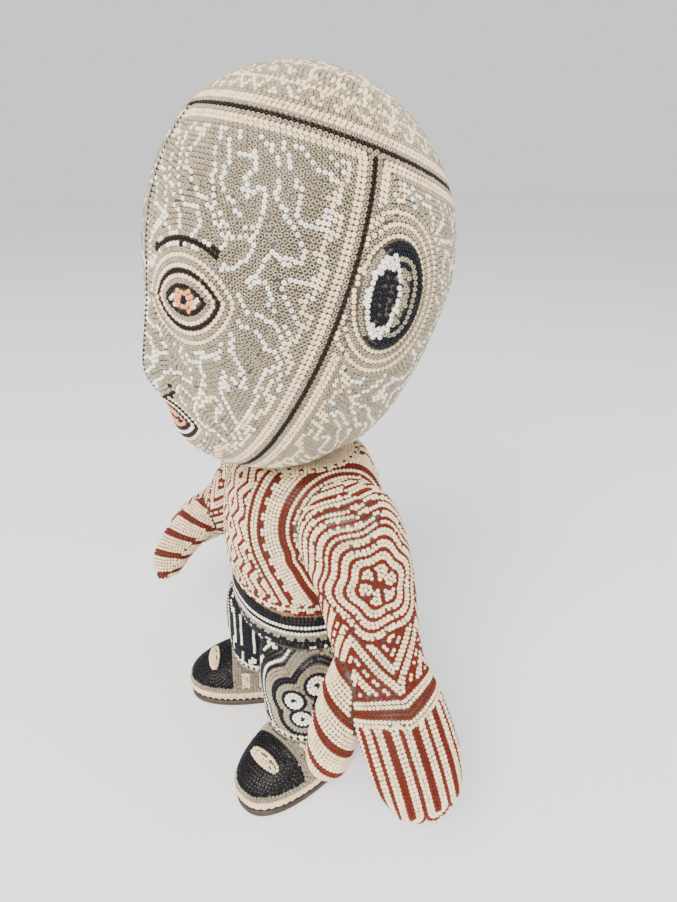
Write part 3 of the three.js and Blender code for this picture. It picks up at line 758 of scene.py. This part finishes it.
def head_colours(beads):
    points = beads.points
    across, upward = face_frame(points)
    eye, mouth = eye_distance(points), mouth_distance(points)
    ear = ears_distance(points)
    to_crown, to_side = seam_ways(points, beads.seams)

    # Ground of silver beads with winding lines of white ones, and zigzags of cream ones by the seams
    seam_row = row_of(np.minimum(to_side, to_crown) - BEAD_PITCH / 2, HEAD_GAP)
    around = np.abs(across)
    ground = np.where(scrolls(upward + around * 0.3, around, 3.6) < 0.95, WHITE, SILVER)
    seam_zigzag = np.abs(np.minimum(to_side, 90) - 9 - 6 * zigzag(upward / 17)) < 1.35
    ground = pick([
        (np.isin(seam_row, (1, 2)), CREAM), (np.isin(seam_row, (0, 3)), SILVER),
        (seam_zigzag, CREAM), ((to_side < 8) & (seam_row > 3), SILVER),
    ], ground)
    eye_row, mouth_row, ear_row = (row_of(distance, HEAD_GAP) for distance in (eye, mouth, ear))
    brow = np.abs(np.hypot((around - EYE_X) / 1.25, upward - EYE_Z + 9) - 31) < 1.3
    brow &= (upward > EYE_Z + 9) & (points[:, 1] < 0) & (np.abs(around - EYE_X) < 19)
    nostril = np.abs(np.hypot(around - 8.5, upward - NOSE_Z - 3) - 5.2) < 1.2
    nostril &= (upward < NOSE_Z + 5) & (around > 6) & (points[:, 1] < 0)
    face = pick([
        (brow | nostril, BROWN),
        (np.isin(eye_row, (0, 2)), CREAM), (np.isin(eye_row, (1, 3)), SILVER),
        (mouth_row == 0, WHITE), (mouth_row == 1, BROWN), (mouth_row == 2, CREAM), (mouth_row == 3, SILVER),
    ], ground)

    # Eyes: brown lid line, cream and silver rows, a brown inner line, then the iris with white beads either
    # side of it as painted glints
    from_iris = iris_distance(points)
    # White beads either side of the iris are painted glints
    iris_and_glints = pick([(from_iris < 2.0, NAVY), (from_iris < 4.9, PEACH)], WHITE)
    eye_inside = row_of(-eye, HEAD_GAP)
    eyes = pick([
        (eye_inside <= 0, BROWN), (eye_inside == 1, CREAM), (eye_inside == 2, SILVER),
        ((eye_inside == 3) & (from_iris > 5), BROWN),
    ], iris_and_glints)
    mouth_inside = row_of(-mouth, HEAD_GAP)
    lips = pick([
        (mouth_inside <= 0, BROWN), ((np.abs(upward - MOUTH_Z) < 1.1) & (around < 11), BROWN),
    ], PEACH)

    # Ears: a dark band open to the front round thinner bands and a dark oval
    back, up, _ = ear_frame(points * np.where(points[:, :1] < 0, [-1, 1, 1], [1, 1, 1]))
    turned = np.degrees(np.arctan2(up, back))
    ear_inside = row_of(-ear, HEAD_GAP)
    oval = np.hypot((back + 5.5) / 5.4, (up + 1) / 11.0)
    ears = pick([
        (oval < 1, NAVY), (oval < 1.45, WHITE),
        ((ear_inside <= 2) & (np.abs(turned) < 118), NAVY),
        (ear_inside == 3, SILVER), ((ear_inside == 4) & (np.abs(turned) < 100), NAVY),
        (ear_inside == 5, SILVER),
    ], SILVER)
    rear = pick([
        (np.isin(ear_row, (0, 2, 4)), CREAM), (np.isin(ear_row, (1, 3, 5)), SILVER),
    ], ground)

    # Crown: a lattice of diamonds
    crown_row = row_of(to_crown - BEAD_PITCH / 2, HEAD_GAP)
    turn_round = np.arctan2(points[:, 0], -points[:, 1]) / (2 * np.pi)
    band_height = 17.0
    band = np.floor(to_crown / band_height)
    repeats = np.maximum(4, np.round((380 - band * 105) / 21))
    climb = zigzag(turn_round * repeats)
    up_band = to_crown / band_height - band
    lattice = (np.abs(up_band - climb) < 0.085) | (np.abs(up_band - 1 + climb) < 0.085)
    small = np.abs(np.abs(up_band - 0.5) + np.abs(climb - 0.5) * 0.9 - 0.17) < 0.07
    crown_ground = pick([
        (np.isin(crown_row, (0, 3)), SILVER), (np.isin(crown_row, (1, 2)), CREAM),
        (lattice | small, CREAM), (up_band < 0.07, CREAM),
    ], SILVER)
    by_region = {"crown_seam": BROWN, "seam": BROWN, "centre_seam": BROWN, "face": face, "rear": rear,
                 "eye": eyes, "mouth": lips, "ear": ears, "crown": crown_ground}
    colours = np.zeros(len(points), int)
    for region, values in by_region.items():
        colours = np.where(beads.region == region, values, colours)
    return colours


def head_names(beads):
    side = np.where(beads.points[:, 0] > 0, "left_", "right_")
    names = np.char.add(side, np.char.add(beads.region, "_beads"))
    names = np.where(beads.region == "ear", np.char.add(side, "ear"), names)
    for single in ("crown", "crown_seam", "centre_seam", "mouth"):
        names = np.where(beads.region == single, f"{single}_beads", names)
    return names


head_beads = lay_head()
bead_pieces(head_beads, head_names(head_beads), head_colours(head_beads), BEAD_PITCH, "head")
head_wax = head_skin(110, 170)
x, y, z = head_wax.points.T
wax_piece("smooth_head_wax", head_wax, (np.hypot(x, y) > NECK_RADIUS) | (z > HEAD_Z), "head", ("head_wax",))


# ---- Torso and arms ----
def placed(skin, place, flipped):
    moved = Skin(place(skin.points), skin.faces[:, ::-1] if flipped else skin.faces)
    moved.extras = skin.extras
    if skin.frames:
        centres, across, depth = skin.frames.values()
        moved.frames["centres"] = place(centres)
        moved.frames["across"] = place(centres + across) - place(centres)
        moved.frames["depth"] = place(centres + depth) - place(centres)
        moved.sizes, moved.exponent = skin.sizes, skin.exponent
    return moved


def arm_skins(side, fine):
    """Skins of the arm and the thumb. Extras end with the places before the arm is swung."""
    skins = []
    for stations, rings, around in ((ARM, 190, 140), (THUMB, 70, 64)):
        skin = loft(stations, int(rings * fine), int(around * fine), 2.0, np.pi)
        skin.extras = np.c_[skin.extras, skin.points]
        skins.append(placed(skin, arm_place(side), side == "right"))
    return skins


FLOWER = np.array([79.0, -4.0, 146.0])     # middle of the arm's flower, before the arm is swung
FLOWER_REACH = 27.0            # the flower's rings end this far from its middle,
SHOULDER_END = 40.0            # but cover everything above this distance along the arm
ARM_RADIUS = 27.0              # mean radius of the arm under the flower
FOREARM_ALONG = 62.0
WRIST_ALONG = 99.0
FINGER = 12.8                  # width of a finger's stripes
FINGERTIP_ALONG = 147.0


def flower_polar(extras):
    """Way out from the flower's middle, and the angle round it, on the skin of an arm."""
    offset = extras[:, 3:6] - FLOWER
    outward = unit(FLOWER - np.array([55.0, 0.0, 140.0]))
    level = unit(np.cross([0.0, 0.0, 1.0], outward))
    steep = np.cross(outward, level)
    angle = np.arctan2(offset @ steep, offset @ level)
    return on_surface(np.linalg.norm(offset, axis=1), ARM_RADIUS), angle


def flower_field(extras):
    """Distance from the flower's middle, lobed like its petals."""
    reach, angle = flower_polar(extras)
    return reach / (1 + 0.08 * np.cos(6 * angle) * blend_step(reach, 2, 8))


def chevron_field(around, along):
    """Lines of nested Vs that point down the arm, in four columns round it."""
    column = np.abs((around + 19) % 38 - 19)
    return (along - FOREARM_ALONG + 1.7 * column) / math.hypot(1, 1.7)


def wrist_field(around, along):
    return (along - WRIST_ALONG + 0.3 * np.abs(around)) / math.hypot(1, 0.3)


def finger_field(around, along):
    """Distance from the nearest finger's middle line, rounded at the tip."""
    across = (around + FINGER / 2) % FINGER - FINGER / 2
    return np.hypot(across, np.maximum(0, along - FINGERTIP_ALONG))


def thumb_field(around, along):
    """Bands that slant round the thumb."""
    return along * 0.86 + around * 0.35


def arm_zone(extras):
    """0 upper arm, 1 forearm, 2 wrist, 3 hand."""
    around, along = extras[:, 0], extras[:, 1]
    wrist = wrist_field(around, along)
    zone = np.where((flower_field(extras) < FLOWER_REACH) | (along < SHOULDER_END), 0, 1)
    zone = np.where(wrist > 0, 2, zone)
    return np.where(wrist > 7 * BODY_GAP, 3, zone)


def lay_arm(side, torso):
    arm, thumb = arm_skins(side, 1.0)
    around, along = arm.extras[:, 0], arm.extras[:, 1]
    free = (depth_outside(arm.points, torso) > CLEAR) & (depth_outside(arm.points, thumb) > CLEAR)
    free &= ~within(arm.points, arm, 0.95)
    zone = arm_zone(arm.extras)
    beads = Beads(arm, BODY_PITCH)
    lay_rows(beads, flower_field(arm.extras), free & (zone == 0), "arm")
    for number, field in ((2, wrist_field), (1, chevron_field), (3, finger_field)):
        lay_rows(beads, field(around, along), free & (zone == number), "arm")
    fill_gaps(beads, free, "arm")
    beads.skin = thumb
    free_thumb = depth_outside(thumb.points, arm) > CLEAR
    cover(beads, thumb_field(thumb.extras[:, 0], thumb.extras[:, 1]), free_thumb, "thumb")
    return beads.finished()


FLOWER_ROWS = [BRICK, *[CREAM] * 4, *[BRICK, CREAM, CREAM] * 3, BRICK, CREAM, *[BRICK, CREAM, CREAM] * 2,
               BRICK, CREAM]
CHEVRON_ROWS = [BRICK, CREAM, CREAM, BRICK, CREAM, BRICK, CREAM, CREAM]
WRIST_ROWS = [BRICK, CREAM, CREAM, BRICK, BRICK, CREAM, CREAM]


def arm_colours(beads):
    around, along = beads.extras[:, 0], beads.extras[:, 1]
    flower = row_of(flower_field(beads.extras))
    reach, petal = flower_polar(beads.extras)
    between = np.abs((petal % (np.pi / 3)) - np.pi / 6) * reach
    spokes = (between < 0.9) & (flower >= 1) & (flower <= 4)
    outer = np.where(flower % 3 == 1, BRICK, CREAM)
    upper = pick([(spokes, BRICK)], table(FLOWER_ROWS, flower, outer))
    chevron = row_of(chevron_field(around, along)) % len(CHEVRON_ROWS)
    serrated = (chevron == 4) & (beads.step % 3 == 0)
    fore = pick([(serrated, BRICK)], table(CHEVRON_ROWS, chevron, CREAM))
    wrist = table(WRIST_ROWS, np.maximum(row_of(wrist_field(around, along)), 0), CREAM)
    finger = row_of(finger_field(around, along))
    hand = pick([(np.isin(finger, (0, 3, 6)), BRICK)], CREAM)
    zone = arm_zone(beads.extras)
    arm = np.select([zone == 0, zone == 1, zone == 2], [upper, fore, wrist], hand)
    thumb = np.where(row_of(thumb_field(around, along)) % 7 < 2, BRICK, CREAM)
    return np.where(beads.region == "thumb", thumb, arm)


TORSO_ROWS = [CREAM, BRICK, CREAM, BRICK, BRICK, *[CREAM] * 4, BRICK, BRICK, CREAM, CREAM, BRICK,
              CREAM, CREAM, BRICK, BRICK, CREAM, BRICK, CREAM]
CHEST_HALF_WIDTH = 13.0        # the middle of the chest, where the lightning always runs
LIGHTNING_ROW = 15             # rows round the arms before the lightning begins
DASHED_ROWS = (9, 17)


def lightning(x, z):
    """Rows that climb in a zigzag on both sides of the middle of the chest."""
    return (np.abs(x) + 6 * zigzag(z / 14)) / math.hypot(1, 12 / 14)


def lay_torso(torso, to_arms):
    points = torso.points
    front = (to_arms > LIGHTNING_ROW * BODY_GAP) | (np.abs(points[:, 0]) < CHEST_HALF_WIDTH)
    to_neck = np.hypot(points[:, 0], points[:, 1]) - NECK_RING_RADIUS
    ring = (to_neck < 0) & (points[:, 2] > SHOULDER_Z - 20)
    lies = (points[:, 2] > WAIST_Z + 0.4) & (to_arms > CLEAR) & ~ring
    beads = Beads(torso, BODY_PITCH)
    lay_rows(beads, points[:, 2] - WAIST_Z, lies & (points[:, 2] < WAIST_Z + 4.5 * BODY_GAP), "torso")
    high = lies & (points[:, 2] > WAIST_Z + 3.5 * BODY_GAP)
    lay_rows(beads, to_arms, high & ~front, "torso")
    lay_rows(beads, lightning(points[:, 0], points[:, 2]), high & front, "torso")
    fill_gaps(beads, lies, "torso")
    cover(beads, -to_neck, ring, "neck_ring")
    return beads.finished()


def torso_colours(beads):
    x, y, z = beads.points.T
    arc = row_of(beads.extras[:, 0])
    low = row_of(z - WAIST_Z)
    round_arm = np.arctan2(z - 150, -y) * 34
    block = (np.floor(round_arm / 3.6) % 2) == 0
    bolt = row_of(lightning(x, z)) % 3 == 0
    arcs = pick([
        (np.isin(arc, DASHED_ROWS) & block, BRICK), (np.isin(arc, DASHED_ROWS), CREAM),
    ], table(TORSO_ROWS, arc, CREAM))
    front = (arc >= LIGHTNING_ROW) | (np.abs(x) < CHEST_HALF_WIDTH)
    colours = pick([(front & bolt, BRICK), (front, CREAM)], arcs)
    around_waist = np.arctan2(x, -y) * WAIST_RADIUS
    scallop = (np.floor(around_waist / 3.8) % 2) == 0
    colours = pick([
        (low == 0, BRICK), ((low == 1) & scallop, BRICK), ((low == 1) | (low == 2), CREAM),
        ((low == 3) & ((np.floor(around_waist / 2) % 3) > 0), BRICK), (low == 3, CREAM),
    ], colours)
    ring = row_of(NECK_RING_RADIUS - np.hypot(x, y))
    tooth = (np.floor(np.arctan2(x, -y) * 28 / 2.0) % 3) == 0
    collar = np.where((ring == 1) & tooth, BRICK, CREAM)
    return np.where(beads.region == "neck_ring", collar, colours)


torso_skin = loft(TORSO, 84, 190, TORSO_ROUNDNESS, -np.pi / 2)
arms = {side: lay_arm(side, torso_skin) for side in ("left", "right")}
to_arms = np.minimum(*(depth_outside(torso_skin.points, arm_skins(side, 0.6)[0]) for side in arms))
torso_skin.extras[:, 0] = to_arms
torso_beads = lay_torso(torso_skin, to_arms)
torso_names = np.char.add(torso_beads.region, "_beads")
bead_pieces(torso_beads, torso_names, torso_colours(torso_beads), BODY_PITCH, "body")
for side, arm_beads in arms.items():
    names = np.full(len(arm_beads.points), f"{side}_arm_beads")
    bead_pieces(arm_beads, names, arm_colours(arm_beads), BODY_PITCH, "body")
    for part, skin in zip(("arm", "thumb"), arm_skins(side, 0.5)):
        replaced = (f"{side}_arm_wax",) if part == "arm" else ()
        wax_piece(f"{side}_smooth_{part}_wax", skin, np.ones(len(skin.points), bool), "body", replaced)
coarse = loft(TORSO, 50, 110, TORSO_ROUNDNESS, -np.pi / 2)
wax_piece("smooth_torso_wax", coarse, coarse.points[:, 2] > WAIST_Z, "body", ("torso_wax",))


# ---- Belt, trousers and boots ----
ROSETTES = ((3.5, 72.0), (-9.0, 62.5), (-4.5, 50.0), (8.0, 60.0))     # way round from the outer front, height
LEG_FACING = -math.radians(25)


def rosette_distance(around, height):
    return np.min([np.hypot(around - u, height - z) for u, z in ROSETTES], axis=0)


HIP_BLEND_Z = 80.0             # above this the legs draw in to the hips
HIP_TOP_Z = 88.0


def leg_skin(side, rings, around, pelvis):
    """A trouser leg that runs smoothly into the hips."""
    leg = loft(LEG, rings, around, 2.0, LEG_FACING)
    outside = depth_outside(leg.points, pelvis) > 0
    tree = BVHTree.FromPolygons(pelvis.points.tolist(), pelvis.faces.tolist())
    share = blend_step(leg.points[:, 2], HIP_BLEND_Z, BELT_FOOT_Z)
    for index in np.flatnonzero(outside & (share > 0)):
        target = np.array(tree.find_nearest(Vector(leg.points[index]))[0])
        leg.points[index] += (target - leg.points[index]) * share[index]
    leg.refresh()
    return placed(leg, mirror if side == "right" else np.array, side == "right")


def pelvis_skin(rings, around):
    return loft(PELVIS, rings, around, TORSO_ROUNDNESS, -np.pi / 2)


def lay_hips():
    pelvis = pelvis_skin(60, 190)
    z = pelvis.points[:, 2]
    beads = Beads(pelvis, BODY_PITCH)
    belt = (z > BELT_FOOT_Z + CLEAR) & (z < WAIST_Z - 2 * CLEAR)
    cover(beads, WAIST_Z - CLEAR - z, belt, "belt")
    legs = {side: leg_skin(side, 80, 130, pelvis) for side in ("left", "right")}
    outside_legs = np.minimum(*(depth_outside(pelvis.points, legs[side]) for side in legs))
    seat = (z < BELT_FOOT_Z - 0.5) & (z > 72) & ((outside_legs > CLEAR) | (z > HIP_TOP_Z))
    cover(beads, BELT_FOOT_Z - CLEAR - z, seat, "seat")
    for side, skin in legs.items():
        beads.skin = skin
        height = skin.points[:, 2]
        lies = (height > HEM_Z + 0.4) & (height < HIP_TOP_Z) & (depth_outside(skin.points, pelvis) > CLEAR)
        lies &= (skin.points[:, 0] if side == "left" else -skin.points[:, 0]) > 0.5
        field = rosette_distance(skin.extras[:, 0], height)
        hem = height - HEM_Z
        lay_rows(beads, hem, lies & (hem < 3.5 * BODY_GAP), f"{side}_leg")
        lay_rows(beads, field, lies & (hem > 3 * BODY_GAP), f"{side}_leg")
        fill_gaps(beads, lies, f"{side}_leg")
    return beads.finished()


def hips_colours(beads):
    x, y, z = beads.points.T
    row = row_of(WAIST_Z - CLEAR - z)
    around_waist = np.arctan2(x, -y) * WAIST_RADIUS
    belt = table([NAVY, NAVY, NAVY, WHITE, NAVY, WHITE, SILVER, SILVER, NAVY, NAVY], row, NAVY)
    belt = pick([((row == 7) & ((np.floor(around_waist / 2) % 3) == 0), NAVY)], belt)
    seat = np.where((z * 0.8 + np.abs(x) + 4 * zigzag(y / 9)) % 9 < 1.8, WHITE, NAVY)
    around = beads.extras[:, 0]
    reach = rosette_distance(around, z)
    beyond = (reach + 3 * zigzag(around / 11)) % 7.4 < 1.8
    step_row = row_of(z - HEM_Z)
    leg = pick([
        (step_row == 0, SILVER), ((step_row == 1) & (beads.step % 2 == 0), WHITE), (step_row == 1, NAVY),
        (step_row == 2, WHITE),
        (reach < 1.0, NAVY), (reach < 4.6, WHITE), (reach < 6.6, NAVY), (reach < 11.6, SILVER),
        (reach < 14.0, NAVY), (reach < 19.0, SILVER), (reach < 21.2, NAVY), (reach < 23.0, WHITE),
        (beyond & (reach > 24.6), WHITE),
    ], NAVY)
    return np.select([beads.region == "belt", beads.region == "seat"], [belt, seat], leg)


def hips_names(beads):
    side = np.where(beads.points[:, 0] > 0, "left_trouser_beads", "right_trouser_beads")
    return np.where(beads.region == "belt", "belt_beads", side)


def boot_rings(levels, around):
    """Points round a boot at levels of height, half width, toe reach and heel reach."""
    z, width, toe, heel = np.array(levels).T[:, :, None]
    _, c, s, scale = outline(around, BOOT_ROUNDNESS)
    grid = np.stack([width * s * scale, np.where(c > 0, -toe, -heel) * c * scale, z + 0 * c], -1)
    return grid.reshape(-1, 3)


def boot_skin(rings, around):
    skin = Skin(boot_rings(catmull(BOOT, np.linspace(0, 1, rings)), around), grid_faces(rings, around))
    skin.extras = skin.points.copy()
    return skin


def boot_place(side):
    c, s = math.cos(BOOT_SPLAY), math.sin(BOOT_SPLAY)

    def place(points):
        moved = points @ np.array([[c, -s, 0], [s, c, 0], [0, 0, 1]]).T + [BOOT_X, BOOT_Y, 0]
        return moved if side == "left" else mirror(moved)

    return place


HIGHLIGHT_Y = -34.0                 # middle of the toe cap's painted highlight, a slim patch of cream beads


def lens_distance(points):
    """Distance outside the slim painted highlight of cream beads on the toe cap."""
    x, y, z = points.T
    along = np.maximum(np.abs(x) - 9, 0)
    swell = 2.2 * (1 - np.minimum(np.abs(x) / 11, 1) ** 2)
    return np.sqrt(along**2 + (y - HIGHLIGHT_Y) ** 2 + ((z - 24.5) * 0.9) ** 2) - swell


def lay_boot(side, leg):
    local = boot_skin(90, 220)
    _, y, z = local.points.T
    boot = placed(local, boot_place(side), side == "right")
    free = (depth_outside(boot.points, leg) > CLEAR) & (z > WELT_TOP_Z)
    beads = Beads(boot, BODY_PITCH)
    welt = (z > WELT_Z) & (z < WELT_TOP_Z)
    lay_rows(beads, z - WELT_Z, welt, "welt")
    edge = free & (z < WELT_TOP_Z + 4 * BODY_GAP)
    cap = free & (z > WELT_TOP_Z + 4 * BODY_GAP) & (y < CAP_Y)
    lay_rows(beads, z - WELT_TOP_Z, edge & (y < CAP_Y), "toe_cap")
    lay_rows(beads, CAP_Y - y, cap & (y > CAP_Y - 2 * BODY_GAP), "toe_cap")
    # Rows on the toe cap ring its painted highlight
    lay_rows(beads, lens_distance(local.points), cap, "toe_cap")
    upper = free & (y > CAP_Y)
    lay_rows(beads, z - WELT_TOP_Z, edge & upper, "boot")
    lay_rows(beads, y - CAP_Y, upper, "boot")
    fill_gaps(beads, welt, "welt")
    fill_gaps(beads, free & (y < CAP_Y), "toe_cap")
    fill_gaps(beads, upper, "boot")
    return beads.finished()


def boot_colours(beads):
    _, y, z = beads.extras.T
    edge_row = row_of(z - WELT_TOP_Z)
    back_row = row_of(y - CAP_Y)
    lens = lens_distance(beads.extras)
    # Cream beads inside the slim patch are a painted highlight on the navy toe cap
    cap = pick([
        (edge_row <= 1, CREAM), (edge_row <= 3, SILVER), (back_row >= -1, SILVER), (lens < 1.8, CREAM),
    ], NAVY)
    upper = pick([
        (edge_row <= 1, CREAM), (edge_row <= 3, SILVER), (back_row <= 1, SILVER),
        ((back_row >= 2) & (back_row <= 4), CREAM), (back_row % 7 == 1, CREAM),
    ], SILVER)
    welt = np.where((row_of(z - WELT_Z) <= 0) & (beads.step % 2 == 0), BROWN, CREAM)
    return np.select([beads.region == "toe_cap", beads.region == "boot"], [cap, upper], welt)


def sole_piece(side):
    """A thin sole with a rounded rim."""
    around = 120
    levels = [(0.0, 0.1, 0.1, 0.1), (0.0, 20.6, 49.1, 27.1), (0.5, 21.3, 49.8, 27.8), (1.2, 21.5, 50.0, 28.0),
              (2.8, 21.5, 50.0, 28.0), (3.4, 21.2, 49.7, 27.7), (3.7, 20.6, 49.1, 27.1), (3.7, 0.1, 0.1, 0.1)]
    faces = grid_faces(len(levels), around)
    points = boot_place(side)(boot_rings(levels, around))
    made = fast_mesh(f"{side}_rounded_sole", points + AXIS, faces[:, ::-1] if side == "right" else faces)
    made.data.materials.append(cad_surfaces["sole"])
    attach(made, "body")
    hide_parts(f"{side}_sole")


hips = lay_hips()
bead_pieces(hips, hips_names(hips), hips_colours(hips), BODY_PITCH, "body")
coarse = pelvis_skin(36, 110)
wax_piece("smooth_hip_wax", coarse, coarse.points[:, 2] < WAIST_Z, "body", ("belt_wax",))
for side in ("left", "right"):
    leg = leg_skin(side, 50, 80, coarse)
    trouser = (leg.points[:, 2] > HEM_Z) & (leg.points[:, 2] < BELT_FOOT_Z)
    wax_piece(f"{side}_smooth_trouser_wax", leg, trouser, "body", (f"{side}_trouser_wax",))
    boot_beads = lay_boot(side, leg)
    names = np.char.add(f"{side}_", np.char.add(boot_beads.region, "_beads"))
    bead_pieces(boot_beads, names, boot_colours(boot_beads), BODY_PITCH, "body")
    sole_piece(side)
    boot = placed(boot_skin(40, 100), boot_place(side), side == "right")
    wax_piece(f"{side}_smooth_boot_wax", boot, boot.points[:, 2] > WELT_Z, "body", (f"{side}_boot_wax",))


# ---- Floor, light and camera ----
def add_floor():
    bpy.ops.mesh.primitive_plane_add(size=12, location=(0, 0, 0))
    floor = bpy.context.object
    floor.name = "floor"
    material, shader, _ = principled("pale_floor")
    shader.inputs["Base Color"].default_value = (0.97, 0.97, 0.97, 1)
    shader.inputs["Roughness"].default_value = 0.9
    floor.data.materials.append(material)


def add_light(name, location, size, power):
    light = bpy.data.lights.new(name, "AREA")
    light.size, light.energy = size, power
    lamp = bpy.data.objects.new(name, light)
    bpy.context.scene.collection.objects.link(lamp)
    lamp.location = location
    lamp.rotation_euler = (Vector((0, 0, 0.18)) - lamp.location).to_track_quat("-Z", "Y").to_euler()


def add_camera():
    azimuth, tilt = math.radians(62), math.radians(25)
    camera = bpy.data.cameras.new("camera")
    camera.lens, camera.sensor_width = 620 / 902 * 36, 36
    holder = bpy.data.objects.new("camera", camera)
    bpy.context.scene.collection.objects.link(holder)
    away, aside, height = 0.295, 0.018, 0.318
    holder.location = (
        AXIS[0] / 1000 + away * math.sin(azimuth) + aside * math.cos(azimuth),
        AXIS[1] / 1000 - away * math.cos(azimuth) + aside * math.sin(azimuth),
        height,
    )
    holder.rotation_euler = (math.radians(90) - tilt, 0, azimuth)
    bpy.context.scene.camera = holder


def add_world():
    world = bpy.data.worlds.new("studio")
    world.use_nodes = True
    bpy.context.scene.world = world
    background = world.node_tree.nodes["Background"]
    background.inputs["Color"].default_value = (1, 1, 1, 1)
    background.inputs["Strength"].default_value = 1.0


add_floor()
add_world()
add_light("key", (0.9, -1.0, 1.5), 1.2, 68)
add_light("fill", (1.2, 0.7, 0.9), 1.4, 9)
add_camera()
